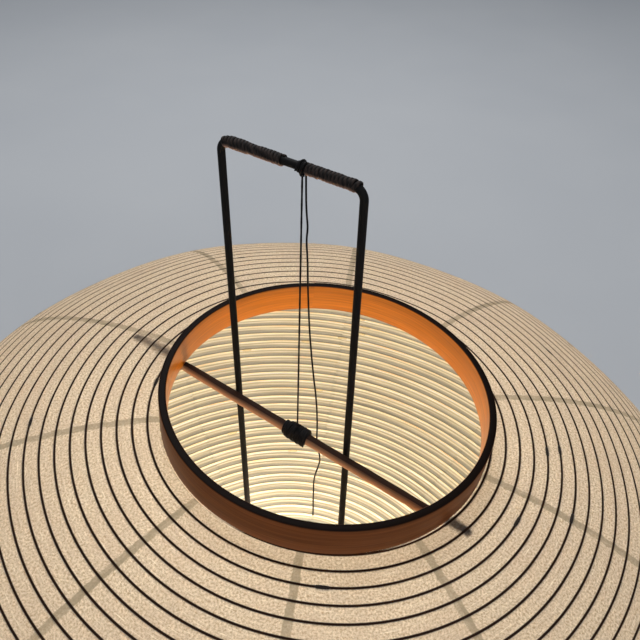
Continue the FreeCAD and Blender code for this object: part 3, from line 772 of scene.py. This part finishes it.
def rib_pieces(sizes):
    """The bamboo spiral in an upper and a lower piece, each a squared section carried along it."""
    last = (LENGTH - 1.0) / (sizes.rib_pitch / MM)
    middle = round(last / 2)
    made = []
    for name, a, b in (("rib_spiral_upper", 0.12, middle), ("rib_spiral_lower", middle, last)):
        path, inward = spiral(a, b, sizes)
        points, uv = swept(path, inward, sizes.rib_width, sizes.rib_height, square=0.55)
        made.append(grid_piece(name, points, uv))
    return made


def splice_piece(sizes):
    """Every paper wrap where one bamboo strip ends and the next begins: short flattened sleeves that
    swell over the lap and close round the strip at both ends."""
    last = (LENGTH - 6.0) / (sizes.rib_pitch / MM)
    path, inward = spiral(0.2, last, sizes)
    run = np.concatenate([[0], np.cumsum(np.linalg.norm(np.diff(path, axis=0), axis=1))]) / MM
    middles = np.arange(SPLICE_FIRST, run[-1] - 10, STRIP_L)
    stops = middles[:, None] + np.linspace(-WRAP_HALF, WRAP_HALF, len(WRAP_SWELL))
    place = np.stack([np.interp(stops, run, path[:, i]) for i in range(3)], -1)
    facing = np.stack([np.interp(stops, run, inward[:, i]) for i in range(3)], -1)
    swell = np.array(WRAP_SWELL)
    points, uv = swept(place, facing, swell * WRAP_WIDE, swell * WRAP_THICK, square=0.8)
    # The side facing the lamp keeps the paper's colour; the other side is painted dark as shadow.
    lamp_side = np.clip(0.5 + 2 * np.sin(np.linspace(0, 2 * np.pi, 9)), 0, 1)[None, None, :]
    return grid_piece("rib_splice_wraps", points, uv, {"lamp_side": lamp_side})


def hoop_piece(name, z):
    """A bent-wood hoop: a rounded rectangle carried round a circle, on a 0.3 mm step where its two
    ends are lapped and glued."""
    turn = np.linspace(0, 360, 289)[:, None]
    # Four quarter circles, from the lower outer edge up and over to the lower inner one.
    arc = np.radians(np.concatenate([np.linspace(a, a + 90, 5) for a in (-90, 0, 90, 180)]))
    outer_r, inner_r = HOOP_R - HOOP_EDGE, HOOP_R - HOOP_WALL + HOOP_EDGE
    radius = np.repeat([outer_r, outer_r, inner_r, inner_r], 5) + HOOP_EDGE * np.cos(arc)
    low, high = HOOP_EDGE, HOOP_H - HOOP_EDGE
    height = np.repeat([low, high, high, low], 5) + HOOP_EDGE * np.sin(arc)
    radius, height = np.append(radius, radius[0]), np.append(height, height[0])
    inner = np.clip((HOOP_R - radius) / HOOP_WALL, 0, 1)
    lap = LAP_STEP * np.clip(1 - turn / LAP_TURN, 0, 1)
    around = radius - lap * (inner < 0.3)
    angle = np.radians(turn + LAP_AT)
    level = np.stack([around * np.cos(angle), around * np.sin(angle),
                      np.broadcast_to(height + z, around.shape)], -1)
    run = np.concatenate([[0], np.cumsum(np.hypot(np.diff(radius), np.diff(height)))]) * MM
    uv = np.stack([np.broadcast_to(np.radians(turn) * HOOP_R * MM, around.shape),
                   np.broadcast_to(run + 0.1, around.shape)], -1)
    # Masks for painted light and shade: side parts the lamp-lit inner face from the shaded outer one, and
    # rim marks the edges painted dark as shade.
    end = np.minimum(height, HOOP_H - height)
    rim = np.clip(1.25 - end / RIM_SHADE_DEPTH, 0, 1)
    return grid_piece(name, hung(level), uv, {"side": 1 - inner, "rim": rim}, inside_out=True)


def dowel_piece():
    """The stick: a circle carried along a straight line, whittled to a small round end at each tip,
    with a bow and facets of a tenth of a millimetre."""
    x = np.concatenate([DOWEL_X[0] + np.array([0, 0.5, 1.2, 4, 8, 12, 16]),
                        np.linspace(DOWEL_X[0] + 20, DOWEL_X[1] - 20, 60),
                        DOWEL_X[1] - np.array([16, 12, 8, 4, 1.2, 0.5, 0])])
    into = np.minimum(x - x[0], x[-1] - x)
    radius = stick_radius(x) * np.clip(0.55 + into / 1.2, 0, 1)
    radius *= 1 + 0.012 * np.sin(x * 0.31) + 0.01 * np.sin(x * 0.13 + 2)
    path = np.stack([x, DOWEL_Y + 0 * x, DOWEL_Z + 0.12 * np.sin(x / 40)], -1)
    points, uv = swept(path * MM, (0, 0, 1), 2 * radius * MM, 2 * radius * MM, sides=24)
    level = points / MM
    centre = np.concatenate([path[:1], path, path[-1:]])[None, :, None]
    wide = np.concatenate([radius[:1], radius, radius[-1:]])[None, :, None, None]
    aside, above = np.moveaxis((level - centre) / wide, -1, 0)[1:]
    # Painted shade: how much each point faces up, away from the lamp below.
    top = np.clip(0.5 + 0.5 * above + 0.12 * aside, 0, 1)
    return grid_piece("hanging_dowel", hung(level), uv, {"top": top})


def wound(turns, start, end, radius, wobble, seed, slant=0.0):
    """A helix about the X axis, 16 stops to a turn: angle grows evenly, x goes from start to end and
    the radius takes a seeded smooth wobble. Slant tips each turn along the axis. All in millimetres."""
    rng = np.random.default_rng(seed)
    t = np.linspace(0, 1, int(turns * 16) + 1)
    angle = 2 * np.pi * turns * t
    knots = rng.normal(0, wobble, int(turns * 2.5) + 3)
    shift = rng.normal(0, wobble * 0.7, int(turns * 1.5) + 3)
    r = radius + np.interp(t * (len(knots) - 1), np.arange(len(knots)), knots)
    x = start + (end - start) * t + slant * np.cos(angle)
    x = x + np.interp(t * (len(shift) - 1), np.arange(len(shift)), shift)
    return x, r, angle


def one_length(grids):
    """Grids of unlike length as one array: each one's last row is repeated until all are as long."""
    rows = max(len(g) for g in grids)
    return np.stack([np.concatenate([g, np.repeat(g[-1:], rows - len(g), 0)]) for g in grids])


def cord_turns(layers, cord, extra=()):
    """Round cord in metres, carried along helices given in millimetres as wound gives them, and along
    extra paths in metres, as one array of grids and one of their UV."""
    grids = []
    for x, r, angle in layers:
        outward = np.stack([0 * x, np.cos(angle), np.sin(angle)], -1)
        path = np.stack([x, r * np.cos(angle), r * np.sin(angle)], -1) * MM
        grids.append(swept(path, outward, cord, cord))
    grids += [swept(path, (0, 0, 1), cord, cord) for path in extra]
    return one_length([ring[0] for ring, _ in grids]), one_length([uv[0] for _, uv in grids])


def lashing_piece(sizes):
    """The lashing: an under layer of close turns, a shorter upper layer, three crossing turns and a
    small finishing knot, each a round cord carried along a wobbling helix about the dowel."""
    cord = sizes.lashing_cord
    layers = [wound(turns, start, end, DOWEL_R + cord / MM * past, wobble, seed, slant)
              for turns, start, end, past, wobble, seed, slant in LASHING]
    points, uv = cord_turns(layers, cord)
    return grid_piece("dowel_lashing_turns", hung(points / MM + (LASHING_X, DOWEL_Y, DOWEL_Z)), uv)


def bar_line(run):
    """Places on the rod's centre line at signed distances from the middle of the bar, and its
    direction there: straight, then round the bend and down. In metres."""
    side = np.sign(run)
    far = np.abs(run)
    straight = ROD_X - ROD_BEND
    turn = np.clip((far - straight) / ROD_BEND, 0, math.pi / 2)
    x = np.minimum(far, straight) + ROD_BEND * np.sin(turn)
    z = BAR_Z - ROD_BEND * (1 - np.cos(turn))
    place = np.stack([side * x, 0 * x, z], -1)
    up = np.stack([side * np.sin(turn), 0 * x, np.cos(turn)], -1)
    return place, up


def binding_piece(name, start, end, turns, seed, sizes):
    """One winding of the bar: round cord carried along a wobbling helix about the rod's centre line,
    whose ring stands at right angles to that line even round the bend."""
    cord = sizes.cord
    run, r, angle = wound(turns, start, end, (ROD_R + cord * 0.46) / MM, 0.1, seed)
    # Where the winding is lumpy, it crosses over itself and stands up to 0.2 mm higher.
    lumps = np.random.default_rng(seed + 50).uniform(0, 1, 9)
    r = r + 0.6 * np.clip(np.interp(np.linspace(0, 8, len(r)), np.arange(9), lumps) - 0.62, 0, 1)
    place, up = bar_line(run * MM)
    outward = np.cos(angle)[:, None] * up + np.sin(angle)[:, None] * np.array([[0.0, 1.0, 0.0]])
    points, uv = swept(place + outward * r[:, None] * MM, outward, sizes.cord_wide, cord)
    # Painted light: how much each point faces down, towards the lamp below.
    low = np.clip(-0.15 - 1.3 * outward[:, 2], 0, 1)
    low = np.concatenate([low[:1], low, low[-1:]])[None, :, None]
    return grid_piece(name, points, uv, {"clean": low})


def bar_knot_piece(sizes):
    """The hitch that holds the string: three turns round the bar, one crossing them, and a lump of
    two small turns underneath where the string leaves."""
    cord = sizes.cord
    reach = (ROD_R + cord * 0.5) / MM
    layers = [(x, r, angle + math.pi / 2) for x, r, angle in (
        wound(3.1, 5.7, 8.9, reach, 0.05, 21), wound(1.3, 9.0, 5.8, reach + 0.75, 0.05, 22, 0.7))]
    turn = np.linspace(0, 4 * np.pi, 60)
    lump = np.stack([KNOT_X + COIL_R * np.cos(turn), COIL_R * np.sin(turn),
                     -COIL_DROP[0] - COIL_DROP[1] * turn / (4 * np.pi)], -1)
    points, uv = cord_turns(layers, cord, [lump])
    return grid_piece("bar_hitch", points + (0, 0, BAR_Z), uv)


def trefoil_piece(sizes):
    """The knot on the lashing: a cord carried along a trefoil, whose ring of three loops is (sin t +
    2 sin 2t, cos t - 2 cos 2t, -sin 3t), drawn tight."""
    t = np.linspace(0, 2 * np.pi, 73)
    shape = np.stack([np.sin(t) + 2 * np.sin(2 * t), np.cos(t) - 2 * np.cos(2 * t), -1.5 * np.sin(3 * t)],
                     -1)
    path = np.array(KNOT_AT) + shape * TREFOIL
    points, uv = swept(path, (0.05, 0.02, 1), 0.9 * sizes.string, 0.9 * sizes.string, closed_ends=False)
    points[:, -1] = points[:, 0]
    return grid_piece("lower_string_knot", points, uv)


# ---- operators ---------------------------------------------------------------------------------
class PieceOperator:
    """What the operators share: they may always run, and can be undone."""
    bl_options = {"REGISTER", "UNDO"}


class LANTERN_OT_stage(PieceOperator, bpy.types.Operator):
    """Add the floor, the soft light and the camera"""
    bl_idname = "lantern.stage"
    bl_label = "Stage"

    def execute(self, context):
        scene, light = context.scene, context.scene.lantern_light
        camera = bpy.data.objects.new("view_camera", bpy.data.cameras.new("view_camera"))
        camera.data.sensor_width = 36.0
        camera.data.lens = CAMERA_LENS
        camera.data.clip_start = 0.02
        right = Vector(CAMERA_RIGHT).normalized()
        back = right.cross(Vector(CAMERA_UP)).normalized()
        turn = Matrix((right, back.cross(right).normalized(), back)).transposed()
        camera.matrix_world = Matrix.Translation(CAMERA_AT) @ turn.to_4x4()
        scene.collection.objects.link(camera)
        scene.camera = camera
        reach = np.linspace(-FLOOR_REACH, FLOOR_REACH, 4 * FLOOR_REACH + 1)
        x, y = np.meshgrid(reach, reach)
        floor = grid_piece("studio_floor", np.stack([x, y, 0 * x], -1), np.stack([x, y], -1))
        made, tree, out = new_material("floor_matt_painted")
        place = add(tree, "TexCoord").outputs["Object"]
        roll = add(tree, "TexNoise", {"Vector": place, "Scale": 3.0, "Detail": 2.0}).outputs[0]
        tone = add(tree, "Mix", {0: roll, 6: rgba(light.floor), 7: linear("c4c6c8")},
                   data_type="RGBA").outputs[2]
        surface(tree, out, tone, 0.75, roll, 0.001, 0.1)
        floor.data.materials.append(made)
        for name, share, at, wide in STUDIO:
            lamp = bpy.data.lights.new(name, "AREA")
            lamp.shape = "DISK"
            lamp.size = wide
            lamp.energy = light.key * share
            holder = bpy.data.objects.new(name, lamp)
            holder.location = at
            aim = Vector(AIM_AT) - Vector(at)
            holder.rotation_euler = aim.to_track_quat("-Z", "Y").to_euler()
            scene.collection.objects.link(holder)
        world = bpy.data.worlds.new("soft_surroundings")
        world.use_nodes = True
        sky = world.node_tree.nodes["Background"].inputs
        sky[0].default_value, sky[1].default_value = linear("e4ebf5"), light.sky
        scene.world = world
        scene.view_settings.view_transform = "Standard"
        return {"FINISHED"}


class LANTERN_OT_strings(PieceOperator, bpy.types.Operator):
    """Add the taut string, its slack end and the knot on the lashing"""
    bl_idname = "lantern.strings"
    bl_label = "Strings"

    def execute(self, context):
        sizes, colours = context.scene.lantern_sizes, context.scene.lantern_colours
        waxed = plain_cord(colours)
        curve = bpy.data.curves.new("slack_string_end", "CURVE")
        curve.dimensions = "3D"
        curve.bevel_depth = sizes.string / 2
        curve.bevel_resolution = 3
        curve.resolution_u = 10
        curve.use_fill_caps = True
        spline = curve.splines.new("NURBS")
        spline.points.add(len(TAIL) - 1)
        spline.points.foreach_set("co", [v for x, z in TAIL for v in (x * MM, TAIL_Y, z * MM, 1.0)])
        spline.order_u = 3
        spline.use_endpoint_u = True
        tail = bpy.data.objects.new("slack_string_end", curve)
        context.scene.collection.objects.link(tail)
        finished(tail, waxed, "stand", "black_cord", "string_tail")
        ends = np.array([STRING_TOP, STRING_END])
        share = np.linspace(0, 1, 240)[:, None]
        path = ends[0] + share * (ends[1] - ends[0])
        turn = share * STRING_TWIST
        twist = np.hstack([np.cos(turn), np.sin(turn), 0 * turn])
        points, uv = swept(path, twist, sizes.string * 1.04, sizes.string * 0.92)
        string = finished(grid_piece("taut_string", points, uv), waxed, "stand", "black_cord",
                          "hanging_string")
        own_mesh(string)
        finished(trefoil_piece(sizes), waxed, "string_end", "black_cord", "string_lower_knot")
        return {"FINISHED"}


class LANTERN_OT_paper(PieceOperator, bpy.types.Operator):
    """Add the ten glued paper strips"""
    bl_idname = "lantern.paper"
    bl_label = "Paper"

    def execute(self, context):
        sizes = context.scene.lantern_sizes
        paper = kozo_paper(context.scene.lantern_colours, sizes)
        for k in range(GORES):
            strip = paper_strip(k, sizes)
            finished(strip, paper, "shade", "washi", "paper_gore_%02d" % (k + 1))
            folds(strip)
        return {"FINISHED"}


class LANTERN_OT_ribs(PieceOperator, bpy.types.Operator):
    """Add the bamboo spiral and the wraps that splice it"""
    bl_idname = "lantern.ribs"
    bl_label = "Ribs"

    def execute(self, context):
        sizes = context.scene.lantern_sizes
        bamboo = split_bamboo(context.scene.lantern_colours)
        for piece, node in zip(rib_pieces(sizes), ("ribs_upper", "ribs_lower")):
            folds(finished(piece, bamboo, "shade", "bamboo", node))
        folds(finished(splice_piece(sizes), paper_wrap(), "shade", "splice_paper", "rib_splices"))
        return {"FINISHED"}


class LANTERN_OT_hoops(PieceOperator, bpy.types.Operator):
    """Add the bent-wood hoops at the top and the bottom"""
    bl_idname = "lantern.hoops"
    bl_label = "Hoops"

    def execute(self, context):
        ash = steamed_ash(context.scene.lantern_colours)
        finished(hoop_piece("upper_hoop", -HOOP_H), ash, "shade", "hoop_wood", "top_hoop")
        finished(hoop_piece("lower_hoop_ring", 2 * MID_Z), ash, "lower_hoop", "hoop_wood", "bottom_hoop")
        return {"FINISHED"}


class LANTERN_OT_dowel(PieceOperator, bpy.types.Operator):
    """Add the stick under the top hoop and the cord lashed round it"""
    bl_idname = "lantern.dowel"
    bl_label = "Dowel and lashing"

    def execute(self, context):
        sizes, colours = context.scene.lantern_sizes, context.scene.lantern_colours
        finished(dowel_piece(), stained_stick(colours), "dowel", "dowel_wood", "shade_dowel")
        cord = twisted_cord("cotton_cord_twisted_black", colours.cord, linear("171415"), 0.0022)
        finished(lashing_piece(sizes), cord, "dowel", "black_cord", "dowel_lashing")
        return {"FINISHED"}


class LANTERN_OT_bindings(PieceOperator, bpy.types.Operator):
    """Add the two windings and the hitch on the bar"""
    bl_idname = "lantern.bindings"
    bl_label = "Bar windings"

    def execute(self, context):
        sizes, colours = context.scene.lantern_sizes, context.scene.lantern_colours
        cord = twisted_cord("cotton_cord_twisted_brown", colours.binding, linear("4a3c36"), 0.002)
        for name, start, end, turns, seed, node in WINDINGS:
            winding = binding_piece(name, start, end, turns, seed, sizes)
            finished(winding, cord, "stand", "wrap_cord", node)
        black = twisted_cord("cotton_cord_hitch_black", colours.cord, linear("171415"), 0.002)
        finished(bar_knot_piece(sizes), black, "stand", "black_cord", "bar_knot")
        return {"FINISHED"}


class LANTERN_OT_stand(PieceOperator, bpy.types.Operator):
    """Give the stand and the lamp holder their finishes"""
    bl_idname = "lantern.stand"
    bl_label = "Stand and holder"

    def execute(self, context):
        # Pressed wool: soft, dark, with 0.8 mm tufts.
        felt = grained("wool_felt_pressed", ("26262a", "48484c"), (0.9, 1.0), 1200.0, relief=0.0005,
                       strength=0.6, Sheen_Weight=0.3)
        # Powder coat: fine orange peel about 2 mm across with a satin shine.
        coat = grained("steel_powder_coated", ("131315", "242426"), (0.38, 0.52), 480.0, relief=0.0003,
                       strength=0.2, IOR=1.5)
        # Painted drawn rod: long faint draw marks and small rubbed spots.
        paint = grained("steel_rod_drawn_painted", ("09090a", "1f1d1c"), (0.5, 0.7), 700.0,
                        stretch=(1, 1, 0.08), relief=0.0002, IOR=1.5, Specular_IOR_Level=0.12)
        # Zinc plate: pale grey metal with a soft spangle 3 mm across.
        zinc = grained("steel_zinc_plated", ("8e8f8c", "c4c4bf"), (0.25, 0.45), 330.0, detail=1.0,
                       Metallic=1.0)
        # Moulded phenolic: near black, faint flow marks, low shine.
        phenolic = grained("phenolic_moulded", ("0e0e10", "1e1d1f"), (0.3, 0.42), 90.0, IOR=1.55)
        # Unglazed fired clay: chalky white with 1 mm specks.
        ceramic = grained("steatite_fired_unglazed", ("d9d3c6", "f2eee6"), (0.75, 0.9), 1000.0)
        # Rolled brass: yellow metal with fine lines round it.
        brass = grained("brass_rolled", ("a8823c", "d8b56a"), (0.22, 0.36), 900.0, stretch=(0.1, 0.1, 2),
                        Metallic=1.0)
        given = {
            "base_pad": felt, "base_plate": coat, "hanger_rod": paint, "socket_bracket": coat,
            "rod_collars": coat, "base_nuts_upper": zinc, "base_nuts_lower": zinc, "base_washers": zinc,
            "collar_screws": zinc, "holder_nipple": zinc, "nipple_nuts": zinc, "holder_cap": phenolic,
            "holder_shell": phenolic, "cable_bush": phenolic, "bulb_insulator": phenolic,
            "holder_insulator": ceramic, "holder_thread_sleeve": brass, "holder_centre_contact": brass,
            "bulb_contact": brass,
        }
        paint_nodes(given)
        return {"FINISHED"}


class LANTERN_OT_lamp(PieceOperator, bpy.types.Operator):
    """Give the bulb its finishes and light it"""
    bl_idname = "lantern.lamp"
    bl_label = "Lamp"

    def execute(self, context):
        clear = lamp_glass()
        paint_nodes({"bulb_cap": screw_cap(), "bulb_glass": clear, "bulb_stem": clear,
                     "bulb_filaments": glowing_filament()})
        low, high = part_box("bulb_glass")
        lamp = bpy.data.lights.new("bulb_light", "POINT")
        lamp.energy = context.scene.lantern_light.lamp
        lamp.color = linear("f6faff")[:3]
        lamp.shadow_soft_size = 0.022
        holder = bpy.data.objects.new("bulb_light", lamp)
        holder.location = ((low.x + high.x) / 2, (low.y + high.y) / 2, high.z - 0.03)
        holder.visible_camera = False
        holder.visible_glossy = False
        holder.visible_transmission = False
        context.scene.collection.objects.link(holder)
        return {"FINISHED"}


OPERATORS = (LANTERN_OT_stage, LANTERN_OT_strings, LANTERN_OT_paper, LANTERN_OT_ribs, LANTERN_OT_hoops,
             LANTERN_OT_dowel, LANTERN_OT_bindings, LANTERN_OT_stand, LANTERN_OT_lamp)


class LANTERN_PT_panel(bpy.types.Panel):
    """Lists the lantern's sizes, colours, light and pieces"""
    bl_idname = "LANTERN_PT_panel"
    bl_label = "Paper lantern"
    bl_space_type = "VIEW_3D"
    bl_region_type = "UI"
    bl_category = "Lantern"

    def draw(self, context):
        for group, kind in GROUPS.items():
            box = self.layout.box()
            for key in kind.__annotations__:
                box.prop(getattr(context.scene, group), key)
        for operator in OPERATORS:
            self.layout.operator(operator.bl_idname)


CLASSES = tuple(GROUPS.values()) + OPERATORS + (LANTERN_PT_panel,)


def register():
    for kind in CLASSES:
        bpy.utils.register_class(kind)
    for group, kind in GROUPS.items():
        setattr(bpy.types.Scene, group, bpy.props.PointerProperty(type=kind))


def unregister():
    for group in GROUPS:
        delattr(bpy.types.Scene, group)
    for kind in reversed(CLASSES):
        bpy.utils.unregister_class(kind)


def main():
    register()
    for operator in OPERATORS:
        family, name = operator.bl_idname.split(".")
        if getattr(getattr(bpy.ops, family), name)() != {"FINISHED"}:
            raise RuntimeError(operator.bl_label + " wasn't finished")
    bpy.context.view_layer.update()


if __name__ == "__main__":
    main()
